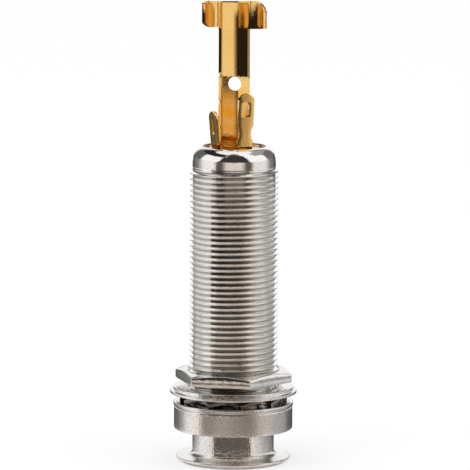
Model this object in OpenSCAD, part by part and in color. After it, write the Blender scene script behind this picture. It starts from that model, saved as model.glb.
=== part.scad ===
// Quarter inch end-pin phone jack with a strap button, for a three-pole plug.
// +Z runs along the barrel towards the cable end, and z = 0 is the face of the strap button.
// The wide side of the cable trough looks along -Y.

/* [Plug] */
// Diameter of the plug shank
plug_d = 6.35; // [6.2:0.05:6.5]
// Radial room round the plug in the nose bore
plug_room = 0.05; // [0.02:0.01:0.1]
// Depth of the nose bore from the button face
bore_depth = 13; // [11:0.5:16]
// Depth of the ring contact from the button face
ring_depth = 20.8; // [20:0.1:22]
// Depth of the tip contact from the button face
tip_depth = 27.3; // [26.5:0.1:28]

/* [Strap button] */
// Thickness of the front flange
flange_t = 0.75; // [0.6:0.05:1.2]
// Thickness of the flange at its rim
rim_t = 0.3; // [0.2:0.05:0.5]
// How far the flange stands out from the neck
flange_w = 2.2; // [1.6:0.1:4]
// How far the rim slopes back to the face
face_inset = 0.7; // [0.3:0.1:1.2]
// Wall of the neck round the nose thread
neck_wall = 0.95; // [0.7:0.05:2]
// Radius where the neck meets the flange
neck_fillet = 0.9; // [0.3:0.1:1.2]
// Width of the strap groove
groove_w = 3.7; // [3:0.1:8]
// Height of the collar
collar_h = 3.17; // [2.5:0.01:5]
// How far the collar stands out from the barrel thread
collar_w = 2; // [1.5:0.1:4]
// Bevel on the edges of the collar
collar_bevel = 0.22; // [0.1:0.02:0.5]
// Thickness of the lip round the plug mouth
mouth_t = 1; // [0.9:0.05:1.2]
// Radial room round the bore at the plug mouth
mouth_room = 0.2; // [0.1:0.05:0.4]
// Bevel of the plug mouth
mouth_bevel = 0.6; // [0.2:0.1:0.8]

/* [Barrel] */
// Diameter over the barrel thread
thread_d = 12; // [11.8:0.1:14]
// Pitch of the barrel thread, which is shown as plain ridges
thread_pitch = 0.75; // [0.75:0.25:2]
// Depth of the barrel thread
thread_depth = 0.44; // [0.3:0.02:0.5]
// Length of the barrel behind the button
barrel_len = 35.28; // [33:0.1:45]
// Length of the plain end behind the thread
plain_len = 3; // [2.5:0.1:5]
// Depth of the step from the thread down to the plain end
plain_step = 0.4; // [0.3:0.05:0.6]
// Rounding of the rear edge
rear_round = 2; // [1.2:0.05:2.2]
// Wall round the spring chamber
chamber_wall = 1.6; // [1.3:0.05:1.8]
// Wall round the contact stack
stack_wall = 1.4; // [1.3:0.02:1.5]
// Thickness of the rolled lip
lip_t = 0.5; // [0.4:0.05:0.9]
// How far the lip reaches over the stack
lip_w = 0.38; // [0.3:0.02:0.6]
// Wall of the nose
nose_wall = 1.275; // [1:0.025:1.6]
// Room in front of the nose, inside the button
nose_gap = 0.2; // [0.1:0.05:0.4]
// Bevel at both ends of the barrel thread
thread_bevel = 0.4; // [0.2:0.05:0.6]
// Radial room between mating threads
thread_room = 0.05; // [0.03:0.01:0.08]

/* [Washers and nut] */
// Radial room of the washers on the barrel
washer_room = 0.12; // [0.08:0.02:0.3]
// Width of the seat washer's ring
seat_w = 1.95; // [1.2:0.05:4]
// Thickness of the seat washer
seat_t = 0.57; // [0.4:0.01:1]
// Width of the lock washer's ring inside its teeth
lock_ring_w = 0.5; // [0.4:0.05:0.8]
// Length of the lock washer's teeth
tooth_len = 0.62; // [0.4:0.02:1]
// Width of a tooth
tooth_w = 2.6; // [1.6:0.1:2.8]
// Twist of a tooth
tooth_twist = 15; // [8:1:20]
// Number of teeth
teeth = 10; // [8:1:11]
// Thickness of the lock washer's sheet
lock_t = 0.5; // [0.4:0.05:0.7]
// Width of the dress washer's ring
dress_w = 2.43; // [1.6:0.01:4]
// Thickness of the dress washer
dress_t = 0.89; // [0.7:0.01:1.2]
// Height of the rim below its step
dress_rim = 0.38; // [0.2:0.01:0.5]
// Width of its step
dress_step = 0.45; // [0.2:0.05:0.8]
// Bevel on its upper edge
dress_bevel = 0.1; // [0.05:0.01:0.15]
// Gap between the dress washer and the nut as it stands
nut_gap = 0.75; // [0.4:0.05:20]
// Wall of the nut from its thread to a flat
nut_wall = 1; // [0.8:0.05:3]
// Height of the nut
nut_h = 1.55; // [1.2:0.05:4]
// Turn of the nut about the barrel
nut_turn = -14; // [-30:1:30]
// Slope of the bevel on the nut's upper corners
nut_slope = 20; // [15:1:30]
// How far the bevel starts inside the nut's flats
nut_land = 0.2; // [0.1:0.05:0.4]
// Countersink at both mouths of the nut
nut_sink = 0.35; // [0.1:0.05:0.5]

/* [Contact stack] */
// Thickness of the terminal sheet
sheet_t = 0.45; // [0.3:0.05:0.5]
// Thickness of the front insulator
front_t = 1.1; // [0.8:0.05:1.5]
// Thickness of the middle insulator
middle_t = 0.75; // [0.5:0.05:1.2]
// Thickness of the rear insulator
rear_t = 1.1; // [0.8:0.05:1.5]
// Radial room of a disc in the barrel
disc_room = 0.05; // [0.03:0.01:0.1]
// Room round a strip in an insulator's slot
slot_room = 0.12; // [0.08:0.02:0.2]
// Room round a lug in the ground disc
ground_room = 0.4; // [0.3:0.05:0.6]
// Wall of the insulating sleeve
sleeve_wall = 0.27; // [0.2:0.01:0.4]

/* [Solder lugs] */
// Direction of the tip lug about the barrel
tip_angle = 295; // [288:1:305]
// Direction of the ring lug about the barrel
ring_angle = 204; // [198:1:218]
// Distance of the tip lug's foot from the barrel axis
tip_lug_r = 3.05; // [2.8:0.05:3.3]
// Distance of the ring lug's foot from the barrel axis
ring_lug_r = 2.65; // [2.5:0.05:3]
// How far the lugs lean out
lug_lean = 5; // [2:0.5:8]
// Height of the tip lug above the barrel
tip_lug_h = 7.3; // [5:0.1:12]
// Height of the ring lug above the barrel
ring_lug_h = 4.7; // [4:0.1:9]
// Width of a lug and of its strip
lug_w = 2.25; // [1.8:0.05:2.4]
// Width of a lug at its waist
waist_w = 1.6; // [1.2:0.05:1.7]
// Distance of the waist below the top of the lug
waist_drop = 5.4; // [4.5:0.1:6]
// Radius of the waist's sides
waist_r = 1.8; // [1:0.1:2.5]
// Width of the wire slot
eye_w = 0.85; // [0.6:0.05:1.1]
// Length of the wire slot
eye_len = 2.1; // [1.4:0.1:2.6]
// Distance of the wire slot's middle below the top
eye_drop = 2.15; // [1.8:0.05:2.6]

/* [Leaf springs] */
// Thickness of a leaf
leaf_t = 0.25; // [0.2:0.01:0.3]
// Width of a leaf
leaf_w = 1.6; // [1.2:0.05:1.9]
// Length of the tab that a leaf lies on, below the stack
tab_len = 1.5; // [1.2:0.1:2.2]
// Gap between a leaf and its tab
leaf_gap = 0.02; // [0.01:0.005:0.05]
// Distance of the tip contact from the axis
tip_reach = 1.95; // [1.7:0.05:2.4]
// Distance of the ring contact from the axis
ring_reach = 2.65; // [2.4:0.05:2.9]
// Length of the lead-in at the end of a leaf
lead_len = 1.4; // [1:0.1:1.8]
// How far the lead-in flares out
lead_flare = 0.32; // [0.2:0.02:0.5]

/* [Cable tail] */
// Length of the tail above the barrel
tail_h = 19.12; // [17:0.01:30]
// Width of the tail
tail_w = 3.85; // [3.4:0.05:4]
// Sideways place of the tail
tail_x = -0.05; // [-0.3:0.05:0.3]
// Distance of the tail's back from the axis at the fold
tail_back = 1.7; // [1.4:0.05:2]
// Height of the fold above the barrel
fold_h = 9.2; // [8.5:0.1:11]
// How far the foot below the fold leans forwards
foot_lean = 2.5; // [1:0.5:4]
// How far the trough above the fold leans back
trough_lean = 7; // [4:0.5:9]
// Overlap of trough and foot at the fold
fold_lap = 0.25; // [0.2:0.05:0.5]
// Radius of the shallow bed of the trough
bed_r = 5; // [4:0.5:8]
// Slope at the left side of the bed
bed_left = 10; // [6:1:14]
// Slope at the right side of the bed
bed_right = 15; // [10:1:18]
// Sideways place of the bed's lowest line in the tail
bed_x = -0.75; // [-0.85:0.05:-0.65]
// Radius of the bends between bed and walls
bend_r = 0.45; // [0.35:0.05:0.6]
// Slope of the low left wall
left_slope = 55; // [45:1:60]
// Slope of the high right wall
right_slope = 44; // [38:1:50]
// Straight length of the left wall
left_wall = 0.15; // [0.1:0.05:0.4]
// Straight length of the right wall
right_wall = 1.75; // [1.5:0.05:2]
// Diameter of the wire hole
hole_d = 1.9; // [1:0.1:2.2]
// Height of the wire hole above the barrel
hole_h = 8.12; // [7.5:0.01:9]
// Sideways place of the wire hole in the tail
hole_x = 0.15; // [-0.3:0.05:0.3]
// Height of the left crimp wing
left_wing_h = 3.52; // [3:0.02:5]
// Height of the right crimp wing
right_wing_h = 3.78; // [3.6:0.02:5]
// Radius of a wing's curl
wing_r = 2.82; // [2.4:0.02:5]
// Slope of a wing where it leaves the trough
wing_start = 18; // [10:1:30]
// Slope of a wing at its tip
wing_end = 79; // [60:1:85]
// Radius of the crease where a wing leaves the trough
crease_r = 0.45; // [0.4:0.05:1]
// Width and height of the rounding on the left wing's upper corner
left_top_w = 0.75; // [0.3:0.05:1]
left_top_h = 1.2; // [0.3:0.1:1.4]
// Width and height of the rounding on its lower corner
left_low_w = 1.2; // [0.3:0.05:1.3]
left_low_h = 1.4; // [0.3:0.1:1.5]
// Width and height of the rounding on the right wing's upper corner
right_top_w = 1.5; // [0.3:0.05:1.6]
right_top_h = 3; // [0.3:0.1:3.1]
// Size of the rounding on its lower corner
right_low = 0.35; // [0.2:0.05:0.4]
// Distance between the nicks on the left edge
nick_pitch = 3.5; // [2.5:0.1:4]
// Radius of a nick
nick_r = 0.15; // [0.1:0.01:0.25]

/* [Hidden] */
$fn = 64;
// Cuts run this far past the faces they leave through
past = 1;

// Radii, from the plug and the thread outwards
bore_r = plug_d / 2 + plug_room;
nose_r = bore_r + nose_wall;
neck_r = nose_r + thread_room + neck_wall;
flange_r = neck_r + flange_w;
mouth_r = bore_r + mouth_room;
thread_r = thread_d / 2;
collar_r = thread_r + collar_w;
plain_r = thread_r - plain_step;
chamber_r = thread_r - chamber_wall;
stack_r = thread_r - stack_wall;
lip_r = stack_r - lip_w;
disc_r = stack_r - disc_room;
sleeve_ro = chamber_r - disc_room;
sleeve_ri = sleeve_ro - sleeve_wall;
washer_ri = thread_r + washer_room;
nut_ri = thread_r + thread_room;
nut_flat_r = nut_ri + nut_wall - thread_room;

// Levels, from the button face towards the cable
collar_z = flange_t + groove_w;
button_h = collar_z + collar_h;
nose_z = mouth_t + nose_gap;
seat_z = button_h;
lock_z = seat_z + seat_t;
lock_h = tooth_w * sin(tooth_twist) + lock_t * cos(tooth_twist);
dress_z = lock_z + lock_h;
nut_z = dress_z + dress_t + nut_gap;
barrel_top = button_h + barrel_len;
thread_top = barrel_top - plain_len;
ridge_low = button_h + thread_bevel;
ridge_high = thread_top - plain_step;
ridges = round((ridge_high - ridge_low) / thread_pitch);
ridge_step = (ridge_high - ridge_low) / ridges;
ground_z = barrel_top - lip_t - sheet_t;
rear_z = ground_z - rear_t;
ring_z = rear_z - sheet_t;
middle_z = ring_z - middle_t;
tip_z = middle_z - sheet_t;
front_z = tip_z - front_t;
tab_z = front_z - tab_len;
fold_z = barrel_top + fold_h;
tail_z = barrel_top + tail_h;
left_wing_z = tail_z - left_wing_h;
right_wing_z = tail_z - right_wing_h;
lug_z = ground_z + sheet_t;
// Back of the foot where it stands on the disc
foot_back = tail_back + (fold_z - ground_z) * tan(foot_lean);

// A tab is a strip's end, bent forwards close to the sleeve
tab_ro = sqrt(pow(sleeve_ri - disc_room, 2) - pow(lug_w / 2, 2));
tab_ri = tab_ro - sheet_t;

nickel = "#c9c4bc";
gold = "#e3b44d";
phenolic = "#9a4a24";
fibre = "#d8cfb8";

// Direction of the sheet's back at slope a, counted from +Y towards +X
function heading(a) = [sin(a), cos(a)];

// Where an arc of radius r that starts at p and turns from slope a to slope b ends
function along(p, r, a, b) = p + sign(b - a) * r * (heading(b) - heading(a));

// Slopes from a to b in steps of about 7 degrees
function slopes(a, b) = let (n = ceil(abs(b - a) / 7)) [for (i = [0 : n]) a + (b - a) * i / n];

function mirrored(points) = [for (i = [len(points) - 1 : -1 : 0]) [-points[i][0], points[i][1]]];

function backwards(points) = [for (i = [len(points) - 1 : -1 : 0]) points[i]];

// Placing helpers
module at_angle(a) {
    rotate([0, 0, a]) children();
}

module ring(r_out, r_in, h) {
    difference() {
        cylinder(r = r_out, h = h);
        translate([0, 0, -past]) cylinder(r = r_in, h = h + 2 * past);
    }
}

// A flat bar of thickness t that runs upright, its outer face at radius r
module upright(r, t, w, h) {
    translate([r - t, -w / 2, 0]) cube([t, w, h]);
}

// Barrel: nose, tube with the ridges of its thread, and rolled rear end, turned in one piece
module barrel_outside() {
    translate([0, 0, nose_z]) cylinder(r = nose_r, h = button_h - nose_z + thread_bevel);
    rotate_extrude()
        polygon(concat(
            [[0, button_h], [thread_r - thread_bevel, button_h], [thread_r, ridge_low]],
            [for (i = [1 : 2 * ridges]) [thread_r - (i % 2) * thread_depth, ridge_low + i * ridge_step / 2]],
            [[plain_r, thread_top], [0, thread_top]]
        ));
    translate([0, 0, thread_top])
        rotate_extrude() {
            square([plain_r - rear_round, plain_len]);
            square([plain_r, plain_len - rear_round]);
            translate([plain_r - rear_round, plain_len - rear_round])
                intersection() {
                    circle(r = rear_round);
                    square(rear_round);
                }
        }
}

module barrel() {
    color(nickel) difference() {
        barrel_outside();
        translate([0, 0, nose_z - past]) cylinder(r = bore_r, h = bore_depth - nose_z + 2 * past);
        translate([0, 0, bore_depth]) cylinder(r = chamber_r, h = front_z - bore_depth + past);
        translate([0, 0, front_z]) cylinder(r = stack_r, h = ground_z + sheet_t - front_z);
        translate([0, 0, ground_z]) cylinder(r = lip_r, h = barrel_top - ground_z + past);
    }
}

// Strap button: flange, filleted neck and collar, with the plug mouth and the nose thread
module button_outline() {
    face_r = flange_r - face_inset;
    polygon([
        [0, 0],
        [face_r, 0],
        [flange_r, flange_t - rim_t],
        [flange_r, flange_t],
        [0, flange_t],
    ]);
    square([neck_r, button_h]);
    translate([neck_r, flange_t])
        difference() {
            square(neck_fillet);
            translate([neck_fillet, neck_fillet]) circle(r = neck_fillet);
        }
    polygon([
        [0, collar_z],
        [collar_r - collar_bevel, collar_z],
        [collar_r, collar_z + collar_bevel],
        [collar_r, button_h - collar_bevel],
        [collar_r - collar_bevel, button_h],
        [0, button_h],
    ]);
}

module strap_button() {
    color(nickel) difference() {
        rotate_extrude() button_outline();
        translate([0, 0, mouth_t]) cylinder(r = nose_r + thread_room, h = button_h);
        translate([0, 0, -past]) cylinder(r = mouth_r, h = mouth_t + 2 * past);
        cylinder(r1 = mouth_r + mouth_bevel, r2 = mouth_r, h = mouth_bevel);
    }
}

module seat_washer() {
    color(nickel) translate([0, 0, seat_z]) ring(washer_ri + seat_w, washer_ri, seat_t);
}

// Lock washer: a thin ring with teeth that are each twisted about their own radius
module lock_washer() {
    ring_r = washer_ri + lock_ring_w;
    color(nickel) translate([0, 0, lock_z + lock_h / 2]) {
        translate([0, 0, -lock_t / 2]) ring(ring_r, washer_ri, lock_t);
        for (i = [0 : teeth - 1])
            at_angle(i * 360 / teeth)
                difference() {
                    rotate([tooth_twist, 0, 0])
                        translate([0, -tooth_w / 2, -lock_t / 2])
                            cube([ring_r + tooth_len, tooth_w, lock_t]);
                    translate([0, 0, -lock_h])
                        cylinder(r = washer_ri + lock_ring_w / 2, h = 2 * lock_h);
                }
    }
}

module dress_washer() {
    dress_r = washer_ri + dress_w;
    step_r = dress_r - dress_step;
    color(nickel) translate([0, 0, dress_z])
        rotate_extrude()
            polygon([
                [washer_ri, 0],
                [dress_r, 0],
                [dress_r, dress_rim],
                [step_r, dress_rim],
                [step_r, dress_t - dress_bevel],
                [step_r - dress_bevel, dress_t],
                [washer_ri, dress_t],
            ]);
}

// Hex nut: a prism turned under a shallow cone, with a countersunk bore
module hex_nut() {
    corner_r = nut_flat_r / cos(30);
    cone_r = nut_flat_r - nut_land;
    wide_r = corner_r + past;
    color(nickel) translate([0, 0, nut_z])
        difference() {
            intersection() {
                at_angle(nut_turn) cylinder(r = corner_r, h = nut_h, $fn = 6);
                rotate_extrude()
                    polygon([
                        [0, -past],
                        [wide_r, -past],
                        [wide_r, nut_h - (wide_r - cone_r) * tan(nut_slope)],
                        [cone_r, nut_h],
                        [0, nut_h],
                    ]);
            }
            translate([0, 0, -past]) cylinder(r = nut_ri, h = nut_h + 2 * past);
            cylinder(r1 = nut_ri + nut_sink, r2 = nut_ri, h = nut_sink);
            translate([0, 0, nut_h - nut_sink])
                cylinder(r1 = nut_ri, r2 = nut_ri + nut_sink, h = nut_sink);
        }
}

module insulating_sleeve() {
    color(fibre) translate([0, 0, bore_depth])
        ring(sleeve_ro, sleeve_ri, front_z - bore_depth);
}

// Holes through a disc for the upright ends of the two strips
module lug_hole(a, r, room) {
    at_angle(a) translate([0, 0, -past])
        upright(r + sheet_t / 2 + room, sheet_t + 2 * room, lug_w + 2 * room, front_t + rear_t + 2 * past);
}

module tab_hole(a) {
    at_angle(a + 180) translate([0, 0, -past])
        upright(tab_ro + slot_room, sheet_t + 2 * slot_room, lug_w + 2 * slot_room, front_t + 2 * past);
}

module front_insulator() {
    color(phenolic) translate([0, 0, front_z]) difference() {
        cylinder(r = disc_r, h = front_t);
        tab_hole(tip_angle);
        tab_hole(ring_angle);
    }
}

module middle_insulator() {
    color(phenolic) translate([0, 0, middle_z]) difference() {
        cylinder(r = disc_r, h = middle_t);
        lug_hole(tip_angle, tip_lug_r, slot_room);
        tab_hole(ring_angle);
    }
}

module rear_insulator() {
    color(phenolic) translate([0, 0, rear_z]) difference() {
        cylinder(r = disc_r, h = rear_t);
        lug_hole(tip_angle, tip_lug_r, slot_room);
        lug_hole(ring_angle, ring_lug_r, slot_room);
    }
}

// What is cut from a plain strip of height h to make a lug: round head, waist and wire slot
module lug_waste(h) {
    head_r = 0.52 * lug_w;
    difference() {
        translate([-lug_w, h - head_r]) square([2 * lug_w, head_r + past]);
        translate([0, h - head_r]) circle(r = head_r);
    }
    for (side = [-1, 1])
        translate([side * (waist_w / 2 + waist_r), h - waist_drop]) circle(r = waist_r);
    for (end = [-1, 1])
        translate([0, h - eye_drop + end * (eye_len - eye_w) / 2]) circle(d = eye_w);
    translate([-eye_w / 2, h - eye_drop - (eye_len - eye_w) / 2]) square([eye_w, eye_len - eye_w]);
}

// A terminal is one bent strip: tab down on one side, across between two discs, and on the other
// side up through the ground disc, where the lug starts to lean out
module terminal(a, r, z, top) {
    half = sheet_t / 2;
    h = top - lug_z;
    long = h + past / 2;
    mitre = half * tan(lug_lean / 2);
    end = [r + long * sin(lug_lean), lug_z + long * cos(lug_lean)];
    across = half * [cos(lug_lean), -sin(lug_lean)];
    at_angle(a) difference() {
        translate([0, lug_w / 2, 0]) rotate([90, 0, 0])
            linear_extrude(lug_w)
                polygon([
                    [-tab_ro, tab_z],
                    [-tab_ri, tab_z],
                    [-tab_ri, z],
                    [r + half, z],
                    [r + half, lug_z - mitre],
                    end + across,
                    end - across,
                    [r - half, lug_z + mitre],
                    [r - half, z + sheet_t],
                    [-tab_ro, z + sheet_t],
                ]);
        translate([r, 0, lug_z]) rotate([0, lug_lean, 0]) rotate([90, 0, 90])
            translate([0, 0, -past]) linear_extrude(2 * past) lug_waste(h);
    }
}

module tip_terminal() {
    color(gold) terminal(tip_angle, tip_lug_r, tip_z, barrel_top + tip_lug_h);
}

module ring_terminal() {
    color(gold) terminal(ring_angle, ring_lug_r, ring_z, barrel_top + ring_lug_h);
}

// A leaf lies on the inner face of its tab, leans in to its contact point and flares out at the end
module leaf(a, depth, reach) {
    root_r = tab_ri - leaf_gap - leaf_t;
    lead_z = depth - lead_len;
    at_angle(a + 180) translate([0, leaf_w / 2, 0]) rotate([90, 0, 0])
        linear_extrude(leaf_w)
            polygon([
                [root_r, front_z - leaf_gap],
                [root_r, tab_z],
                [reach, depth],
                [reach + lead_flare, lead_z],
                [reach + lead_flare + leaf_t, lead_z],
                [reach + leaf_t, depth],
                [root_r + leaf_t, tab_z],
                [root_r + leaf_t, front_z - leaf_gap],
            ]);
}

module tip_spring() {
    color(gold) leaf(tip_angle, tip_depth, tip_reach);
}

module ring_spring() {
    color(gold) leaf(ring_angle, ring_depth, ring_reach);
}

// One side of the tail's sheet is a chain of arcs out from the lowest line of its bed: bed, bend,
// crease and wing, with a straight wall between bend and crease. An arc is [start, radius, slopes].
function chain(bed, slope, wall) = let (
    bend = along([0, 0], bed_r, 0, bed),
    foot = along(bend, bend_r, bed, slope),
    crease = foot + wall * [cos(slope), -sin(slope)],
    wing = along(crease, crease_r, slope, wing_start)
) [
    [[0, 0], bed_r, 0, bed],
    [bend, bend_r, bed, slope],
    [crease, crease_r, slope, wing_start],
    [wing, wing_r, wing_start, wing_end],
];

// Points on the back (k = 1) or on the front (k = -1) of that side
function side_points(k, bed, slope, wall) = [
    for (i = [0 : 3])
        let (arc = chain(bed, slope, wall)[i])
            for (a = slopes(arc[2], arc[3]))
                if (a != arc[2] || i == 2)
                    along(arc[0], arc[1], arc[2], a) + k * sheet_t / 2 * heading(a),
];

function left_points(k) = side_points(k, bed_left, left_slope, left_wall);

function right_points(k) = side_points(k, bed_right, right_slope, right_wall);

function sheet_line(k) = concat(mirrored(left_points(k)), [[0, k * sheet_t / 2]], right_points(k));

function furthest(points) = max([for (p = points) p[0]]);

left_tip = furthest(left_points(1)) - bed_x;
right_tip = furthest(right_points(1)) + bed_x;

// A length of the whole sheet from level low to level high
module sheet(low, high) {
    translate([bed_x, tail_back - sheet_t / 2, low])
        linear_extrude(high - low)
            polygon(concat(sheet_line(1), backwards(sheet_line(-1))));
}

// Everything beyond the width of the tail on the right, from level low to level high
module beside(low, high) {
    translate([tail_w / 2, -tail_h, low]) cube([tail_w, 2 * tail_h, high - low]);
}

// The corner that is cut off a square edge at x to round it, pointing to +X and +Z
module corner_cut(x, w, h) {
    curve = [for (a = [0 : 9 : 90]) [x - w + w * sin(a), -h + h * cos(a)]];
    rotate([90, 0, 0]) translate([0, 0, -tail_h])
        linear_extrude(2 * tail_h)
            polygon(concat(curve, [[x + past, -h], [x + past, past], [x - w, past]]));
}

// Trough and wings from one bent sheet: the wings are cut off below their foot and rounded
module trough() {
    difference() {
        sheet(fold_z - fold_lap, tail_z);
        beside(fold_z - past, right_wing_z);
        mirror([1, 0, 0]) beside(fold_z - past, left_wing_z);
        translate([0, 0, tail_z]) corner_cut(right_tip, right_top_w, right_top_h);
        translate([0, 0, right_wing_z]) mirror([0, 0, 1]) corner_cut(right_tip, right_low, right_low);
        translate([0, 0, tail_z]) mirror([1, 0, 0]) corner_cut(left_tip, left_top_w, left_top_h);
        translate([0, 0, left_wing_z]) mirror([1, 0, 0]) mirror([0, 0, 1])
            corner_cut(left_tip, left_low_w, left_low_h);
    }
}

// The foot has the same section, and is cut flush with the disc's underside
module foot() {
    difference() {
        sheet(ground_z - past, fold_z + fold_lap);
        for (side = [0, 1])
            mirror([side, 0, 0]) beside(ground_z - 2 * past, fold_z + past);
    }
}

// Turns a length of the tail about the line of the fold
module leaning(a) {
    translate([0, tail_back, fold_z]) rotate([a, 0, 0]) translate([0, -tail_back, -fold_z]) children();
}

// Tail: foot and trough lean apart from the fold, with the wire hole just below it
module tail() {
    difference() {
        union() {
            leaning(foot_lean) foot();
            leaning(-trough_lean) trough();
        }
        translate([-tail_w, -tail_h, ground_z - 3 * past]) cube([2 * tail_w, 2 * tail_h, 3 * past]);
        translate([hole_x, -past, barrel_top + hole_h])
            rotate([-90, 0, 0]) cylinder(d = hole_d, h = tail_back + 3 * past);
        for (i = [0 : 2])
            translate([-tail_w / 2, -past, fold_z - i * nick_pitch])
                rotate([-90, 0, 0]) cylinder(r = nick_r, h = tail_back + 3 * past);
    }
}

// Ground terminal: clamped disc with notches for the lugs, tail and crimp wings from one sheet
module ground_terminal() {
    color(gold) {
        translate([0, 0, ground_z]) difference() {
            cylinder(r = disc_r, h = sheet_t);
            lug_hole(tip_angle, tip_lug_r, ground_room);
            lug_hole(ring_angle, ring_lug_r, ground_room);
            translate([tail_x - tail_w / 2 - slot_room, foot_back + slot_room, -past])
                cube([tail_w + 2 * slot_room, disc_r, sheet_t + 2 * past]);
        }
        translate([tail_x, 0, 0]) tail();
    }
}

barrel();
strap_button();
seat_washer();
lock_washer();
dress_washer();
hex_nut();
insulating_sleeve();
front_insulator();
tip_terminal();
tip_spring();
middle_insulator();
ring_terminal();
ring_spring();
rear_insulator();
ground_terminal();
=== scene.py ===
import bpy
import bmesh
import math
from mathutils import Matrix, Vector
from mathutils.geometry import tessellate_polygon


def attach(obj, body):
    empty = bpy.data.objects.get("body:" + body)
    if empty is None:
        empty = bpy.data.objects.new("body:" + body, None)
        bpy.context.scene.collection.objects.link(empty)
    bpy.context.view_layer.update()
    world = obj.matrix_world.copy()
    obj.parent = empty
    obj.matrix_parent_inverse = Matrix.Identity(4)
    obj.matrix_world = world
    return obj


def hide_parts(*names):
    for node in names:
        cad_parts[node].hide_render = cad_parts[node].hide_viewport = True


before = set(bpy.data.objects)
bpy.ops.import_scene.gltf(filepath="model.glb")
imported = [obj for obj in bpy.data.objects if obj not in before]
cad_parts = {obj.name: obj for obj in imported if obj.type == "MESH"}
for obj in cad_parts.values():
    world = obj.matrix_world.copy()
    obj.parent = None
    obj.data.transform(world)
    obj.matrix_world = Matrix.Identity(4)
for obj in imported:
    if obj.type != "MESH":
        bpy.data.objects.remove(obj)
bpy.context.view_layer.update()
scene = bpy.context.scene
mm = 0.001
weld = 0.002  # points closer than this become one
sliver = 0.0005  # edges shorter than this are dissolved
roundSegments = 192  # steps round the button and the flat washers
print("frame loaded:", len(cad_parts), "nodes")


# Small helpers, all sizes in millimetres
def blendBetween(a, b, t):
    return a + (b - a) * t


def easeStep(low, high, value):
    t = min(1.0, max(0.0, (value - low) / (high - low)))
    return t * t * (3 - 2 * t)


def spread(low, high, count):
    return [low + (high - low) * i / count for i in range(count + 1)]


def roundedPath(points, closed=True, steps=5):
    # each point is (across, along, corner radius)
    path = []
    count = len(points)
    for i, (a, b, radius) in enumerate(points):
        corner = Vector((a, b))
        if radius <= 0 or (not closed and i in (0, count - 1)):
            path.append((a, b))
            continue
        before = Vector(points[i - 1][:2]) - corner
        after = Vector(points[(i + 1) % count][:2]) - corner
        u, v = before.normalized(), after.normalized()
        half = u.angle(v) / 2
        reach = min(radius / math.tan(half), before.length * 0.49, after.length * 0.49)
        radius = reach * math.tan(half)
        middle = corner + (u + v).normalized() * (radius / math.sin(half))
        start, end = corner + u * reach - middle, corner + v * reach - middle
        turn = start.angle(end)
        for k in range(steps + 1):
            t = k / steps
            arm = (start * math.sin((1 - t) * turn) + end * math.sin(t * turn)) / math.sin(turn)
            path.append(tuple(middle + arm))
    return path


def turnedMesh(loop, segments):
    # a closed loop of (radius, height) turned round the Z axis
    verts, faces = [], []
    rows = len(loop)
    for i in range(segments):
        a = 2 * math.pi * i / segments
        verts += [(r * math.cos(a), r * math.sin(a), z) for r, z in loop]
    for i in range(segments):
        here, there = i * rows, ((i + 1) % segments) * rows
        for j in range(rows):
            k = (j + 1) % rows
            faces.append((here + j, there + j, there + k, here + k))
    return verts, faces


def plateMesh(outline, holes, low, high):
    # a flat plate between two heights, with round or square holes
    loops = [outline] + holes
    flat = [[Vector((x, y, 0)) for x, y in loop] for loop in loops]
    tris = tessellate_polygon(flat)
    points = [p for loop in loops for p in loop]
    count = len(points)
    verts = [(x, y, high) for x, y in points] + [(x, y, low) for x, y in points]
    faces = [tuple(t) for t in tris] + [tuple(count + i for i in reversed(t)) for t in tris]
    first = 0
    for loop in loops:
        for i in range(len(loop)):
            a, b = first + i, first + (i + 1) % len(loop)
            faces.append((a, b, count + b, count + a))
        first += len(loop)
    return verts, faces


def makePiece(name, mesh, finish, body, node, sheet=0, bevel=0, angle=40):
    verts, faces = mesh
    data = bpy.data.meshes.new(name)
    data.from_pydata([Vector(v) * mm for v in verts], [], faces)
    bm = bmesh.new()
    bm.from_mesh(data)
    bmesh.ops.remove_doubles(bm, verts=bm.verts, dist=weld * mm)
    bmesh.ops.dissolve_degenerate(bm, edges=bm.edges, dist=sliver * mm)
    bmesh.ops.recalc_face_normals(bm, faces=bm.faces)
    bm.to_mesh(data)
    bm.free()
    for polygon in data.polygons:
        polygon.use_smooth = True
    piece = bpy.data.objects.new(name, data)
    scene.collection.objects.link(piece)
    data.materials.append(finish)
    if sheet:
        skin = piece.modifiers.new("sheet", "SOLIDIFY")
        skin.thickness = sheet * mm
        skin.offset = 0
        skin.use_even_offset = True
    if bevel:
        edge = piece.modifiers.new("edge", "BEVEL")
        edge.width = bevel * mm
        edge.segments = 3
        edge.limit_method = "ANGLE"
        edge.angle_limit = math.radians(angle)
        edge.harden_normals = False
    weight = piece.modifiers.new("normals", "WEIGHTED_NORMAL")
    weight.keep_sharp = True
    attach(piece, body)
    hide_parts(node)
    return piece


# Node helpers for the finishes
def addNode(tree, kind, settings=None, **values):
    made = tree.nodes.new(kind)
    for key, value in (settings or {}).items():
        setattr(made, key, value)
    for key, value in values.items():
        made.inputs[key].default_value = value
    return made


def noiseNode(tree, vector, scale, detail=2.0, roughness=0.5):
    made = addNode(tree, "ShaderNodeTexNoise", Scale=scale, Detail=detail, Roughness=roughness)
    tree.links.new(vector, made.inputs["Vector"])
    return made.outputs["Fac"]


def rangeNode(tree, value, low, high, outLow, outHigh):
    # low to high becomes outLow to outHigh, and stays there beyond
    made = addNode(tree, "ShaderNodeMapRange")
    tree.links.new(value, made.inputs[0])
    for i, number in enumerate((low, high, outLow, outHigh)):
        made.inputs[i + 1].default_value = number
    return made.outputs[0]


def mixNode(tree, factor, first, second):
    made = addNode(tree, "ShaderNodeMix", {"data_type": "RGBA"})
    tree.links.new(factor, made.inputs[0])
    for place, colour in ((6, first), (7, second)):
        if isinstance(colour, tuple):
            made.inputs[place].default_value = (*colour, 1)
        else:
            tree.links.new(colour, made.inputs[place])
    return made.outputs[2]


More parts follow.
